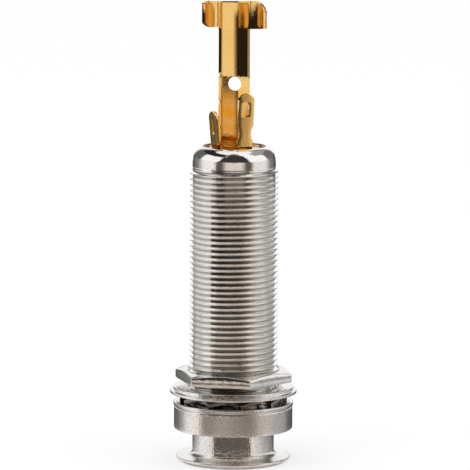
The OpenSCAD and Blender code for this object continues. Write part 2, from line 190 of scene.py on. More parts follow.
def newFinish(name):
    material = bpy.data.materials.new(name)
    material.use_nodes = True
    tree = material.node_tree
    shader = tree.nodes["Principled BSDF"]
    place = addNode(tree, "ShaderNodeTexCoord").outputs["Object"]
    return material, tree, shader, place


def axisDistance(tree, place):
    flat = addNode(tree, "ShaderNodeVectorMath", {"operation": "MULTIPLY"})
    tree.links.new(place, flat.inputs[0])
    flat.inputs[1].default_value = (1, 1, 0)
    size = addNode(tree, "ShaderNodeVectorMath", {"operation": "LENGTH"})
    tree.links.new(flat.outputs[0], size.inputs[0])
    return size.outputs["Value"]


def heightAlong(tree, place):
    parts = addNode(tree, "ShaderNodeSeparateXYZ")
    tree.links.new(place, parts.inputs[0])
    return parts.outputs["Z"]


def productNode(tree, first, second):
    made = addNode(tree, "ShaderNodeMath", {"operation": "MULTIPLY"})
    tree.links.new(first, made.inputs[0])
    tree.links.new(second, made.inputs[1])
    return made.outputs[0]


def platedMetal(name, look):
    # plating: fine orange peel, tiny pits, patchy gloss and faint stains; where asked, a painted reflection
    # low on the tail, and dirt with painted shade in the thread roots
    material, tree, shader, place = newFinish(name)
    shader.inputs["Metallic"].default_value = 1.0
    stain = rangeNode(tree, noiseNode(tree, place, look["stainScale"], 3, 0.6), 0.42, 0.72, 0, look["stain"])
    colour = mixNode(tree, stain, look["colour"], look["stainColour"])
    pits = rangeNode(tree, noiseNode(tree, place, look["pitScale"], 2, 0.6), 0.55, 0.66, 0, look["pits"])
    colour = mixNode(tree, pits, colour, look["pitColour"])
    if "goldReflectionTop" in look:  # painted reflection of the gold disc and lugs: deeper orange patches low on the tail
        height = heightAlong(tree, place)
        reflectionLow, reflectionHigh = (look["goldReflectionTop"] - 1.5) * mm, look["goldReflectionTop"] * mm
        low = rangeNode(tree, height, reflectionLow, reflectionHigh, look["warm"], 0)
        reflectionPatches = rangeNode(tree, noiseNode(tree, place, look["goldReflectionScale"], 2, 0.5), 0.3, 0.5, 0, 1)
        colour = mixNode(tree, productNode(tree, low, reflectionPatches), colour, look["goldReflectionColour"])
    if "rootRadius" in look:  # dirt and painted shade in the roots of the thread, up to its end
        distance = axisDistance(tree, place)
        dirtAndShade = rangeNode(tree, distance, look["rootRadius"] * mm, look["crestRadius"] * mm, look["dirtAndShade"], 0)
        height = heightAlong(tree, place)
        ends = rangeNode(tree, height, (look["dirtAndShadeTop"] - 0.2) * mm, look["dirtAndShadeTop"] * mm, 1, 0)
        colour = mixNode(tree, productNode(tree, dirtAndShade, ends), colour, look["dirtAndShadeColour"])
    tree.links.new(colour, shader.inputs["Base Color"])
    gloss = rangeNode(tree, noiseNode(tree, place, look["glossScale"], 4, 0.6), 0.3, 0.7, *look["roughness"])
    tree.links.new(gloss, shader.inputs["Roughness"])
    peel = addNode(tree, "ShaderNodeBump", Strength=1.0, Distance=look["peel"] * mm)
    tree.links.new(noiseNode(tree, place, look["peelScale"], 2, 0.55), peel.inputs["Height"])
    tree.links.new(peel.outputs[0], shader.inputs["Normal"])
    return material


nickelLook = {
    "colour": (0.86, 0.84, 0.81),
    "stainColour": (0.62, 0.58, 0.53),
    "stain": 0.4,
    "stainScale": 420,
    "glossScale": 2600,
    "pits": 0.5,
    "pitScale": 5200,
    "pitColour": (0.34, 0.31, 0.28),
    "roughness": (0.03, 0.08),
    "peel": 0.04,
    "peelScale": 3600,
}
barrelNickel = platedMetal("barrelNickel", {
    **nickelLook,
    "colour": (0.95, 0.93, 0.90),
    "stain": 0.2,
    "pits": 0.22,
    "peel": 0.012,
    # the thread roots are darkened towards the root: partly dirt, partly painted shade
    "rootRadius": 5.565,
    "crestRadius": 5.59,
    "dirtAndShadeTop": 39.9,
    "dirtAndShade": 0.65,
    "dirtAndShadeColour": (0.14, 0.12, 0.10),
})
buttonNickel = platedMetal("buttonNickel", nickelLook)
washerNickel = platedMetal("washerNickel", {**nickelLook, "peel": 0.03})
nutNickel = platedMetal("nutNickel", {**nickelLook, "peel": 0.012})
# dark spring steel, darkened further as painted shade of the narrow gap between the washers
darkSteelAndGapShade = platedMetal("darkSteelAndGapShade", {
    **nickelLook,
    "colour": (0.26, 0.24, 0.22),
    "stainColour": (0.10, 0.09, 0.08),
    "roughness": (0.10, 0.25),
})

goldLook = {
    "colour": (0.88, 0.56, 0.19),
    "stainColour": (0.76, 0.44, 0.12),
    "stain": 0.3,
    "stainScale": 300,
    "glossScale": 1800,
    "pits": 0.3,
    "pitScale": 6000,
    "pitColour": (0.50, 0.27, 0.07),
    "roughness": (0.05, 0.12),
    "peel": 0.008,
    "peelScale": 6000,
}
terminalGold = platedMetal("terminalGold", goldLook)
# the orange patches low on the tail are a painted reflection of the gold disc and lugs below
tailGold = platedMetal("tailGold", {
    **goldLook,
    "goldReflectionTop": 50.5,
    "warm": 0.95,
    "goldReflectionScale": 330,
    "goldReflectionColour": (0.92, 0.40, 0.03),
})
springGold = platedMetal("springGold", {**goldLook, "colour": (0.84, 0.55, 0.22)})


def laminate(name, look):
    # pressed board: thin layers seen at the edge, mottled resin, dull gloss
    material, tree, shader, place = newFinish(name)
    stretched = addNode(tree, "ShaderNodeMapping")
    stretched.inputs["Scale"].default_value = look["grain"]
    tree.links.new(place, stretched.inputs["Vector"])
    fibre = noiseNode(tree, stretched.outputs[0], look["grainScale"], 4, 0.65)
    layer = mixNode(tree, rangeNode(tree, fibre, 0.35, 0.7, 0, 1), look["colour"], look["darkColour"])
    tree.links.new(layer, shader.inputs["Base Color"])
    gloss = rangeNode(tree, noiseNode(tree, place, 1500, 3, 0.6), 0.3, 0.7, *look["roughness"])
    tree.links.new(gloss, shader.inputs["Roughness"])
    tooth = addNode(tree, "ShaderNodeBump", Strength=1.0, Distance=look["tooth"] * mm)
    tree.links.new(fibre, tooth.inputs["Height"])
    tree.links.new(tooth.outputs[0], shader.inputs["Normal"])
    return material


phenolicBoard = laminate("phenolicBoard", {
    "colour": (0.36, 0.12, 0.035),
    "darkColour": (0.21, 0.055, 0.016),
    "grain": (1, 1, 6),
    "grainScale": 1500,
    "roughness": (0.35, 0.55),
    "tooth": 0.02,
})
fibreSleeve = laminate("fibreSleeve", {
    "colour": (0.62, 0.56, 0.44),
    "darkColour": (0.48, 0.41, 0.30),
    "grain": (1, 1, 0.3),
    "grainScale": 2200,
    "roughness": (0.5, 0.7),
    "tooth": 0.02,
})
print("finishes made:", len(bpy.data.materials))


# Strap button: thin flange, waisted neck and thick collar, turned in one piece
strapButton = {
    "mouth": 3.425,
    "mouthBevel": 0.6,
    "face": 7.0,
    "flange": 7.7,
    "rimStart": 0.45,
    "flangeTop": 0.75,
    "neck": 5.5,
    "fillet": 0.9,
    "collarStart": 4.45,
    "collar": 8.0,
    "collarEdge": 0.25,
    "top": 7.62,
    "noseBore": 4.55,
    "mouthDepth": 1.0,
}


def buildStrapButton(b):
    loop = roundedPath([
        (b["mouth"] + b["mouthBevel"], 0, 0.12),
        (b["face"], 0, 0.3),
        (b["flange"], b["rimStart"], 0.14),
        (b["flange"], b["flangeTop"], 0.14),
        (b["neck"], b["flangeTop"], b["fillet"]),
        (b["neck"], b["collarStart"], 0.12),
        (b["collar"], b["collarStart"], b["collarEdge"]),
        (b["collar"], b["top"], b["collarEdge"]),
        (b["noseBore"], b["top"], 0.08),
        (b["noseBore"], b["mouthDepth"], 0.05),
        (b["mouth"], b["mouthDepth"], 0.08),
        (b["mouth"], b["mouthBevel"], 0.15),
    ], steps=6)
    mesh = turnedMesh(loop, roundSegments)
    return makePiece("strapButton", mesh, buttonNickel, "button", "strap_button")


buildStrapButton(strapButton)


# Washers between the collar and the nut
flatWashers = {
    "seatWasher": {
        "node": "seat_washer",
        "points": [(6.12, 7.62, 0.05), (8.07, 7.62, 0.1), (8.07, 8.19, 0.16), (6.12, 8.19, 0.05)],
    },
    "dressWasher": {
        "node": "dress_washer",
        "points": [
            (6.12, 9.346, 0.05),
            (8.55, 9.346, 0.08),
            (8.55, 9.726, 0.07),
            (8.10, 9.726, 0.03),
            (8.10, 10.236, 0.12),
            (6.12, 10.236, 0.06),
        ],
    },
}
for washerName, washer in flatWashers.items():
    washerMesh = turnedMesh(roundedPath(washer["points"]), roundSegments)
    makePiece(washerName, washerMesh, washerNickel, "button", washer["node"])


# Lock washer: ten teeth, each twisted out of the plane of the thin ring
lockWasher = {
    "bore": 6.12,
    "ring": 6.62,
    "tip": 7.24,
    "teeth": 10,
    "width": 2.6,
    "twist": 15,
    "middle": 8.768,
    "sheet": 0.5,
}


def buildLockWasher(w):
    verts, faces = [], []
    half = w["width"] / 2
    tilt = math.tan(math.radians(w["twist"]))
    radii = spread(w["bore"], w["ring"], 3)
    across = spread(-1, 1, 10)
    span = 2 * math.pi / w["teeth"]
    edge = math.asin(half / w["ring"])
    columns = []
    toothColumns = []
    for n in range(w["teeth"]):
        centre = 2 * math.pi * n / w["teeth"]
        toothColumns.append([])
        for u in across:
            toothColumns[-1].append(len(columns))
            columns.append((centre, math.asin(u * half / w["ring"])))
        for a in spread(edge, span - edge, 6)[1:-1]:
            columns.append((centre, a))
    for centre, a in columns:
        for r in radii:
            # the twist runs out towards the bore and between the teeth
            lift = easeStep(w["bore"], w["ring"], r)
            y = r * math.sin(a)
            if abs(y) > half:
                y = blendBetween(half, -half, easeStep(edge, span - edge, a))
            verts.append((r * math.cos(centre + a), r * math.sin(centre + a), w["middle"] + y * tilt * lift))
    rows = len(radii)
    for i in range(len(columns)):
        here, there = i * rows, ((i + 1) % len(columns)) * rows
        for j in range(rows - 1):
            faces.append((here + j, there + j, there + j + 1, here + j + 1))
    for n, picked in enumerate(toothColumns):
        centre = 2 * math.pi * n / w["teeth"]
        last = [c * rows + rows - 1 for c in picked]
        for t in (0.35, 0.7, 1.0):
            row = []
            for u in across:
                y = u * half
                x = blendBetween(math.sqrt(w["ring"] ** 2 - y * y), w["tip"], t)
                row.append(len(verts))
                verts.append((
                    x * math.cos(centre) - y * math.sin(centre),
                    x * math.sin(centre) + y * math.cos(centre),
                    w["middle"] + y * tilt,
                ))
            for k in range(len(across) - 1):
                faces.append((last[k], last[k + 1], row[k + 1], row[k]))
            last = row
    return makePiece("lockWasher", (verts, faces), darkSteelAndGapShade, "button", "lock_washer",
                     sheet=w["sheet"], bevel=0.05, angle=50)


buildLockWasher(lockWasher)
print("strap button and washers made")


# Barrel: right-hand thread cut into a tube, plain end rolled over the contact stack
barrel = {
    "crest": 6.0,
    "root": 5.56,
    "pitch": 0.75,
    "threadLow": 7.62,
    "threadHigh": 39.9,
    "lowRadius": 5.55,
    "plain": 5.55,
    "bevelLow": 0.42,
    "bevelHigh": 0.5,
    # flat 60 degree flanks between a small root fillet and a rounded crest
    "form": [(0.07, 0), (0.115, 0.02), (0.14, 0.075), (0.16, 0.134), (0.405, 0.855), (0.425, 0.914),
             (0.455, 0.973), (0.5, 1), (0.545, 0.973), (0.575, 0.914), (0.595, 0.855), (0.84, 0.134),
             (0.86, 0.075), (0.885, 0.02), (0.93, 0)],
    "segments": 120,
    "inside": [
        (5.6, 40.05, 0.08),
        *[(3.6 + 2 * math.cos(math.radians(a)), 40.9 + 2 * math.sin(math.radians(a)), 0)
          for a in range(0, 70, 4)],
        (4.22, 42.79, 0.06),
        (4.22, 42.4, 0.03),
        (4.6, 42.4, 0.03),
        (4.6, 38.1, 0.05),
        (4.4, 38.1, 0.08),
        (4.4, 13.0, 0.2),
        (3.225, 13.0, 0.25),
        (3.225, 1.2, 0.12),
        (4.5, 1.2, 0.2),
        (4.5, 7.62, 0.1),
    ],
}


def buildBarrel(b):
    verts, faces = [], []
    columns = b["segments"]
    form = b["form"]
    perTurn = len(form)
    low, high, pitch = b["threadLow"], b["threadHigh"], b["pitch"]
    rows = (math.ceil((high - low) / pitch) + 2) * perTurn
    for i in range(columns):
        a = 2 * math.pi * i / columns
        for j in range(rows + 1):
            phase, height = form[j % perTurn]
            z = low - pitch + (j // perTurn + phase + i / columns) * pitch
            z = min(high, max(low, z))
            r = blendBetween(b["root"], b["crest"], height)
            r = min(r, blendBetween(b["lowRadius"], b["crest"], (z - low) / b["bevelLow"]))
            r = min(r, blendBetween(b["plain"], b["crest"], (high - z) / b["bevelHigh"]))
            if z == low:
                r = b["lowRadius"]
            verts.append((r * math.cos(a), r * math.sin(a), z))
    step = rows + 1
    for i in range(columns):
        for j in range(rows):
            if i < columns - 1:
                faces.append((i * step + j, (i + 1) * step + j, (i + 1) * step + j + 1, i * step + j + 1))
            elif j + perTurn + 1 <= rows:
                faces.append((i * step + j, j + perTurn, j + perTurn + 1, i * step + j + 1))
    path = [(b["plain"], high, 0)] + b["inside"] + [(b["lowRadius"], low, 0)]
    path = roundedPath(path, closed=False, steps=7)
    first = len(verts)
    for i in range(columns):
        a = 2 * math.pi * i / columns
        verts += [(r * math.cos(a), r * math.sin(a), z) for r, z in path]
    count = len(path)
    for i in range(columns):
        here, there = first + i * count, first + ((i + 1) % columns) * count
        for j in range(count - 1):
            faces.append((here + j, there + j, there + j + 1, here + j + 1))
    return makePiece("barrel", (verts, faces), barrelNickel, "jack", "barrel")


buildBarrel(barrel)
print("barrel threaded")


# Hex nut: prism between two cones, so each face ends in an arc
hexNut = {
    "low": 10.986,
    "height": 1.55,
    "flat": 7.0,
    "turn": -14,
    "bore": 6.05,
    "sink": 0.35,
    "coneStart": 6.8,
    "slope": 20,
    "perFace": 28,
}


def buildHexNut(n):
    verts, faces = [], []
    fall = math.tan(math.radians(n["slope"]))
    columns = []
    for side in range(6):
        for k in range(n["perFace"]):
            d = math.radians(-30 + 60 * k / n["perFace"])
            columns.append((math.radians(30 + 60 * side + n["turn"]) + d, n["flat"] / math.cos(d)))
    for a, r in columns:
        drop = (r - n["coneStart"]) * fall
        section = [
            (n["bore"], n["sink"]),
            (n["bore"] + n["sink"], 0),
            (n["coneStart"], 0),
            (r, 0),
            (r, n["height"] / 2),
            (r, n["height"] - drop),
            (n["coneStart"], n["height"]),
            (n["bore"] + n["sink"], n["height"]),
            (n["bore"], n["height"] - n["sink"]),
        ]
        verts += [(q * math.cos(a), q * math.sin(a), n["low"] + z) for q, z in section]
    rows = len(section)
    for i in range(len(columns)):
        here, there = i * rows, ((i + 1) % len(columns)) * rows
        for j in range(rows):
            k = (j + 1) % rows
            faces.append((here + j, there + j, there + k, here + k))
    return makePiece("hexNut", (verts, faces), nutNickel, "nut", "hex_nut",
                     bevel=0.06, angle=18)


buildHexNut(hexNut)
print("nut made")


# Contact strips: a flat blank is bent along a path, with a lug at one end
def stripMesh(path, turn):
    # path holds (distance from axis, height, half width, half width of a slot)
    verts, faces = [], []
    a = math.radians(turn)
    for r, z, w, s in path:
        for y in (-w, -(w + s) / 2, -s, s, (w + s) / 2, w):
            verts.append((r * math.cos(a) - y * math.sin(a), r * math.sin(a) + y * math.cos(a), z))
    for i in range(len(path) - 1):
        here, there = i * 6, (i + 1) * 6
        openSlot = path[i][3] > 0 or path[i + 1][3] > 0
        for j in range(5):
            if j != 2 or not openSlot:
                faces.append((here + j, there + j, there + j + 1, here + j + 1))
    return verts, faces


contactStrips = {
    "tipTerminal": {"node": "tip_terminal", "turn": 295, "foot": 3.05, "level": 39.425, "top": 50.2},
    "ringTerminal": {"node": "ring_terminal", "turn": 204, "foot": 2.65, "level": 40.625, "top": 47.6},
}
stripBlank = {
    "sheet": 0.45,
    "half": 1.125,
    "headRadius": 1.17,
    "waist": 0.8,
    "waistDrop": 5.4,
    "waistRadius": 1.8,
    "eyeHalf": 0.425,
    "eyeLength": 2.1,
    "eyeDrop": 2.15,
    "tabRadius": 3.645,
    "tabEnd": 36.6,
    "bend": 0.38,
    "riser": 1.2,
    "leanFrom": 42.4,
    "lean": 5,
}


def buildStrip(name, strip, k):
    top, level, foot = strip["top"], strip["level"], strip["foot"]
    corners = [(-k["tabRadius"], k["tabEnd"], 0), (-k["tabRadius"], level, k["bend"]),
               (foot, level, k["bend"]), (foot, level + k["riser"], 0)]
    path = [(r, z, k["half"], 0) for r, z in roundedPath(corners, closed=False, steps=6)]
    eyeLow = top - k["eyeDrop"] - k["eyeLength"] / 2
    eyeHigh = top - k["eyeDrop"] + k["eyeLength"] / 2
    headMiddle = top - k["headRadius"]
    heights = set(spread(level + k["riser"], headMiddle, 40)[1:])
    heights |= {headMiddle + k["headRadius"] * math.sin(math.radians(d)) for d in range(5, 91, 5)}
    for d in range(0, 91, 10):
        rise = k["eyeHalf"] * (1 - math.cos(math.radians(d)))
        heights |= {eyeLow + rise, eyeHigh - rise}

    def halfWidth(z):
        w = k["half"]
        off = abs(z - (top - k["waistDrop"]))
        if off < k["waistRadius"]:
            w = min(w, k["waist"] + k["waistRadius"] - math.sqrt(k["waistRadius"] ** 2 - off * off))
        over = max(0, z - headMiddle)
        return min(w, math.sqrt(max(0, k["headRadius"] ** 2 - over * over)))

    def slotHalf(z):
        end = min(z - eyeLow, eyeHigh - z, k["eyeHalf"])
        return math.sqrt(k["eyeHalf"] ** 2 - (k["eyeHalf"] - end) ** 2) if end > 0 else 0

    lean = math.radians(k["lean"])
    for z in sorted(heights):
        d = max(0, z - k["leanFrom"])
        path.append((foot + d * math.sin(lean), z - d * (1 - math.cos(lean)), halfWidth(z), slotHalf(z)))
    return makePiece(name, stripMesh(path, strip["turn"]), terminalGold, "jack", strip["node"],
                     sheet=k["sheet"], bevel=0.07, angle=55)


for stripName, strip in contactStrips.items():
    buildStrip(stripName, strip, stripBlank)


# Leaf springs: clamped on the tabs, bowed in to the plug, flared at the tips
leafSprings = {
    "tipSpring": {"node": "tip_spring", "body": "tip_leaf", "turn": 115, "reach": 1.95, "depth": 27.3},
    "ringSpring": {"node": "ring_spring", "body": "ring_leaf", "turn": 24, "reach": 2.65, "depth": 20.8},
}
leafBlank = {"sheet": 0.25, "half": 0.8, "root": 3.15, "high": 38.08, "tab": 36.6, "lead": 1.4, "flare": 0.32}


def buildLeaf(name, leaf, k):
    mid = k["sheet"] / 2
    corners = [
        (k["root"] + mid, k["high"], 0),
        (k["root"] + mid, k["tab"], 1.2),
        (leaf["reach"] + mid, leaf["depth"], 0.9),
        (leaf["reach"] + k["flare"] + mid, leaf["depth"] - k["lead"], 0),
    ]
    path = [(r, z, k["half"], 0) for r, z in roundedPath(corners, closed=False, steps=8)]
    return makePiece(name, stripMesh(path, leaf["turn"]), springGold, leaf["body"], leaf["node"],
                     sheet=k["sheet"], bevel=0.04, angle=55)


for leafName, leaf in leafSprings.items():
    buildLeaf(leafName, leaf, leafBlank)
print("lugs and leaf springs bent")


# Ground terminal: clamped disc, and a tail with a foot, a trough, a wire hole and two crimp wings
groundTerminal = {
    "sheet": 0.45,
    "low": 41.95,
    "fold": 52.1,
    "foldHalf": 0.3,
    "wingLow": {"left": 58.5, "right": 58.24},
    "top": 62.02,
    "side": -0.05,
    "back": 1.7,
    "half": 1.925,
    "footLean": 2.5,
    "troughLean": 7,
    "bed": {"radius": 5, "place": -0.75},
    "bendRadius": 0.45,
    "leftWall": {"bed": 10, "slope": 55, "length": 0.15},
    "rightWall": {"bed": 15, "slope": 44, "length": 1.75},
    "creaseRadius": 0.45,
    "wing": {"radius": 2.82, "start": 18, "end": 79},
    "leftCorners": {"low": (1.2, 1.4), "high": (0.75, 1.2)},
    "rightCorners": {"low": (0.35, 0.35), "high": (1.5, 3.0)},
    "hole": (0.15, 51.02, 0.95),
    "patch": 1.22,
    "nicks": [52.1, 48.6, 45.1],
    "nick": 0.15,
    "disc": 4.55,
    "discHigh": 42.4,
    "lugRoom": 0.4,
    "tailRoom": 0.12,
}


def sheetSide(g, wall):
    # middle of the sheet from the lowest line of the bed outwards: bed, bend, wall, crease and wing
    bed, wing = g["bed"], g["wing"]
    points = [Vector((0, 0))]

    def arc(radius, first, last, steps):
        way = radius if last > first else -radius
        start = points[-1]
        for a in spread(math.radians(first), math.radians(last), steps)[1:]:
            b = math.radians(first)
            points.append(start + way * Vector((math.sin(a) - math.sin(b), math.cos(a) - math.cos(b))))

    arc(bed["radius"], 0, wall["bed"], 8)
    arc(g["bendRadius"], wall["bed"], wall["slope"], 6)
    slope = math.radians(wall["slope"])
    along = wall["length"] * Vector((math.cos(slope), -math.sin(slope)))
    start = points[-1]
    points += [start + along * t for t in spread(0, 1, max(1, round(wall["length"] / 0.2)))[1:]]
    arc(g["creaseRadius"], wall["slope"], wing["start"], 6)
    arc(wing["radius"], wing["start"], wing["end"], 22)
    return points


def buildGroundTerminal(g):
    verts, faces = [], []
    place, middle = g["bed"]["place"], g["back"] - g["sheet"] / 2
    section = [(place - p.x, middle + p.y) for p in reversed(sheetSide(g, g["leftWall"])[1:])]
    section += [(place + p.x, middle + p.y) for p in sheetSide(g, g["rightWall"])]

    def sheetY(x):
        for (x0, y0), (x1, y1) in zip(section, section[1:]):
            if x <= x1:
                break
        return blendBetween(y0, y1, (x - x0) / (x1 - x0))

    def addPoint(x, y, z):
        # foot and trough lean apart about the line of the fold
        t = easeStep(g["fold"] - g["foldHalf"], g["fold"] + g["foldHalf"], z)
        a = math.radians(blendBetween(g["footLean"], -g["troughLean"], t))
        y, z = y - g["back"], z - g["fold"]
        verts.append((
            g["side"] + x,
            g["back"] + y * math.cos(a) - z * math.sin(a),
            g["fold"] + y * math.sin(a) + z * math.cos(a),
        ))
        return len(verts) - 1

    # columns across the tail, and rows that lie closer together at the nicks and round the hole
    half = g["half"]
    first = next(i for i, (x, y) in enumerate(section) if x > -half + 0.02)
    last = max(i for i, (x, y) in enumerate(section) if x < half - 0.02)
    columns = [-half] + [x for x, y in section[first:last + 1]] + [half]
    holeX, holeZ, holeR = g["hole"]
    patch = g["patch"]
    heights = set(spread(g["low"] + 0.1, holeZ - patch, 24) + spread(holeZ - patch, holeZ + patch, 16)
                  + spread(holeZ + patch, g["wingLow"]["right"], 18))
    for n in g["nicks"]:
        heights |= {n + g["nick"] * math.sin(math.radians(d)) for d in range(-90, 91, 15)}
    rows = []
    for z in sorted(heights):
        if not rows or z - rows[-1] > 0.012:
            rows.append(z)

    grid = []
    flat = []
    for z in rows:
        near = min(abs(z - n) for n in g["nicks"])
        bite = math.sqrt(max(0, g["nick"] ** 2 - near * near))
        places = [max(x, -half + bite + 0.01 * i) for i, x in enumerate(columns)]
        grid.append([addPoint(x, sheetY(x), z) for x in places])
        flat.append(places)
    left = max(i for i, x in enumerate(columns) if x < holeX - patch + 0.1)
    right = min(i for i, x in enumerate(columns) if x > holeX + patch - 0.1)
    low = min(range(len(rows)), key=lambda j: abs(rows[j] - (holeZ - patch)))
    high = min(range(len(rows)), key=lambda j: abs(rows[j] - (holeZ + patch)))
    for j in range(len(rows) - 1):
        for i in range(len(columns) - 1):
            if not (left <= i < right and low <= j < high):
                faces.append((grid[j][i], grid[j][i + 1], grid[j + 1][i + 1], grid[j + 1][i]))

    # the wire hole: rings from the square patch in to the round edge
    border = [(low, i) for i in range(left, right)] + [(j, right) for j in range(low, high)]
    border += [(high, i) for i in range(right, left, -1)] + [(j, left) for j in range(high, low, -1)]
    ring = [grid[j][i] for j, i in border]
    for t in (0.4, 0.7, 0.88, 1.0):
        inner = []
        for j, i in border:
            x, z = flat[j][i], rows[j]
            a = math.atan2(z - holeZ, x - holeX)
            x = blendBetween(x, holeX + holeR * math.cos(a), t)
            z = blendBetween(z, holeZ + holeR * math.sin(a), t)
            inner.append(addPoint(x, sheetY(x), z))
        for k in range(len(ring)):
            m = (k + 1) % len(ring)
            faces.append((ring[k], ring[m], inner[m], inner[k]))
        ring = inner

    # the head: trough and wings together, with rounded wing corners
    rim = g["sheet"] / 2 * math.sin(math.radians(g["wing"]["end"]))
    leftTip, rightTip = section[0][0] - rim, section[-1][0] + rim

    def cornerCut(x, level):
        # a corner is rounded as a quarter of an ellipse, given by its width and height
        tip, corners = (leftTip, g["leftCorners"]) if x < 0 else (rightTip, g["rightCorners"])
        wide, tall = corners[level]
        over = max(0, 1 - abs(tip - x) / wide)
        return tall * (1 - math.sqrt(1 - over * over))

    leftWing, rightWing = section[:first - 1], section[last + 2:]
    across = leftWing + [(x, sheetY(x)) for x in columns] + rightWing
    before = [None] * len(leftWing) + grid[-1] + [None] * len(rightWing)
    headRows = 14
    for j in range(headRows + 1):
        row = []
        for i, (x, y) in enumerate(across):
            base = g["wingLow"]["left" if x < -half else "right"] + cornerCut(x, "low")
            tip = g["top"] - cornerCut(x, "high")
            if j == 0 and before[i] is not None:
                row.append(before[i])
            else:
                row.append(addPoint(x, y, blendBetween(base, tip, j / headRows)))
        if j:
            for i in range(len(across) - 1):
                faces.append((before[i], before[i + 1], row[i + 1], row[i]))
        before = row

    tail = makePiece("groundTail", (verts, faces), tailGold, "jack", "ground_terminal",
                     sheet=g["sheet"], bevel=0.07, angle=55)

    # the disc under the rolled lip, with openings for the lugs and behind the tail
    room = g["tailRoom"]
    slotLeft, slotRight = g["side"] - half - room, g["side"] + half + room
    footBack = g["back"] + (g["fold"] - g["low"]) * math.tan(math.radians(g["footLean"])) + room
    turnFrom = math.acos(slotLeft / g["disc"])
    turnTo = 2 * math.pi + math.acos(slotRight / g["disc"])
    outline = [(g["disc"] * math.cos(a), g["disc"] * math.sin(a)) for a in spread(turnFrom, turnTo, 96)]
    outline += [(slotRight, footBack), (slotLeft, footBack)]
    holes = []
    for strip in contactStrips.values():
        a = math.radians(strip["turn"])
        reach = stripBlank["sheet"] / 2 + g["lugRoom"]
        near, far, wide = strip["foot"] - reach, strip["foot"] + reach, stripBlank["half"] + g["lugRoom"]
        box = [(near, -wide, 0.2), (far, -wide, 0.2), (far, wide, 0.2), (near, wide, 0.2)]
        holes.append([(x * math.cos(a) - y * math.sin(a), x * math.sin(a) + y * math.cos(a))
                      for x, y in roundedPath(box, steps=4)])
    mesh = plateMesh(outline, holes, g["low"], g["discHigh"])
    disc = makePiece("groundDisc", mesh, terminalGold, "jack", "ground_terminal",
                     bevel=0.05, angle=55)
    return tail, disc


buildGroundTerminal(groundTerminal)
print("ground terminal bent")


# Nodes kept from the CAD model get their board and sleeve finishes
keptNodes = {
    "insulating_sleeve": fibreSleeve,
    "front_insulator": phenolicBoard,
    "middle_insulator": phenolicBoard,
    "rear_insulator": phenolicBoard,
}
for nodeName, finish in keptNodes.items():
    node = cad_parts[nodeName]
    node.data.materials.clear()
    node.data.materials.append(finish)
print("board and sleeve finished")


# Studio: white floor and sky, and light and dark cards that only reflections see
studio = {
    "floorColour": (0.97, 0.97, 0.97),
    "floorSize": 4000,
    "floorWhite": 0.55,
    "floorRoughness": 0.9,
    "cardLift": 0.03,
    "skyStrength": 1.0,
    "lamp": 0.35,
    "lampAim": (0, 0, 30),
}
# shades run round the object: azimuth 0 is towards the camera and grows to the right
shades = {
    "near": [(-150, 0.06), (-118, 0.4), (-104, 0.64), (-85, 1.0), (-60, 0.95), (-48, 0.58),
             (28, 0.56), (46, 0.85), (58, 0.72), (85, 0.5), (110, 0.3), (145, 0.08)],
    "stripe": [(-150, 0.05), (-125, 0.7), (-62, 0.95), (-46, 0.12), (34, 0.12), (50, 0.85),
               (95, 0.7), (130, 0.3), (150, 0.05)],
    "nut": [(-150, 0.05), (-138, 0.3), (-122, 0.85), (-88, 0.95), (-60, 0.72), (-28, 0.66),
            (30, 0.45), (60, 0.5), (92, 0.36), (120, 0.5), (150, 0.06)],
    "far": [(-155, 0.2), (-126, 0.9), (-88, 1.0), (-66, 1.0), (-62, 0.03), (12, 0.03),
            (38, 0.25), (70, 1.0), (92, 1.0), (126, 0.7), (155, 0.2)],
    "neckWall": [(-42, 0.11), (37, 0.13)],
    "collarWall": [(-108, 0.1), (-86, 0.36), (-72, 0.85), (-61, 0.92), (-50, 0.85), (-42, 0.27),
                   (-12, 0.36), (20, 0.25), (47, 0.56), (68, 0.46), (80, 0.4), (106, 0.1)],
    "threadCard": [(-63.5, 0.03), (12, 0.04), (36, 0.22), (52, 0.55), (68, 0.95)],
    "tailCard": [(-150, 0.04), (-112, 0.2), (-82, 0.85), (-53, 0.9), (-43, 0.1), (-31, 0.1),
                 (-18, 0.7), (18, 0.7), (30, 0.1), (42, 0.1), (52, 0.8), (82, 0.8),
                 (112, 0.2), (150, 0.04)],
    "lipCard": [(-42, 0.05), (40, 0.05)],
    "troughCard": [(-128, 0.02), (-30, 0.02), (-20, 0.5)],
    "wingCard": [(60, 0.35), (125, 0.35)],
    "backLeft": [(-158, 0.4), (-146, 0.12), (-112, 0.12), (-104, 0.5)],
    "backRight": [(104, 0.5), (112, 0.15), (146, 0.15), (158, 0.4)],
    "topFlag": [(-30, 0.3), (28, 0.3)],
}
# rings of the floor card: how far from the axis, and which shade
floorRows = [(9, "near"), (40, "near"), (44, "stripe"), (56, "stripe"),
             (61, "nut"), (114, "nut"), (121, "far"), (330, "far")]
walls = {
    "neckWall": {"radius": 10, "height": (0.6, 3.2)},
    "collarWall": {"radius": 12.5, "height": (3.4, 7.1)},
    "threadCard": {"radius": 40, "height": (9, 44)},
    "tailCard": {"radius": 26, "height": (36.4, 44.4)},
    "lipCard": {"radius": 26, "height": (44.4, 47.6)},
    "troughCard": {"radius": 12.5, "height": (50.3, 62.5)},
    "wingCard": {"radius": 12.5, "height": (50.3, 62.5)},
    "backLeft": {"radius": 345, "height": (75, 500), "fade": 800},
    "backRight": {"radius": 345, "height": (75, 500), "fade": 800},
    "topFlag": {"radius": 200, "height": (600, 1500)},
}
frontArch = {
    "radius": 1500,
    "level": 42,
    "inside": (34, 15),
    "outside": (42, 75),
    "tone": 0.04,
}
warmFront = {"tint": (1.10, 0.96, 0.87), "full": 35, "gone": 75}


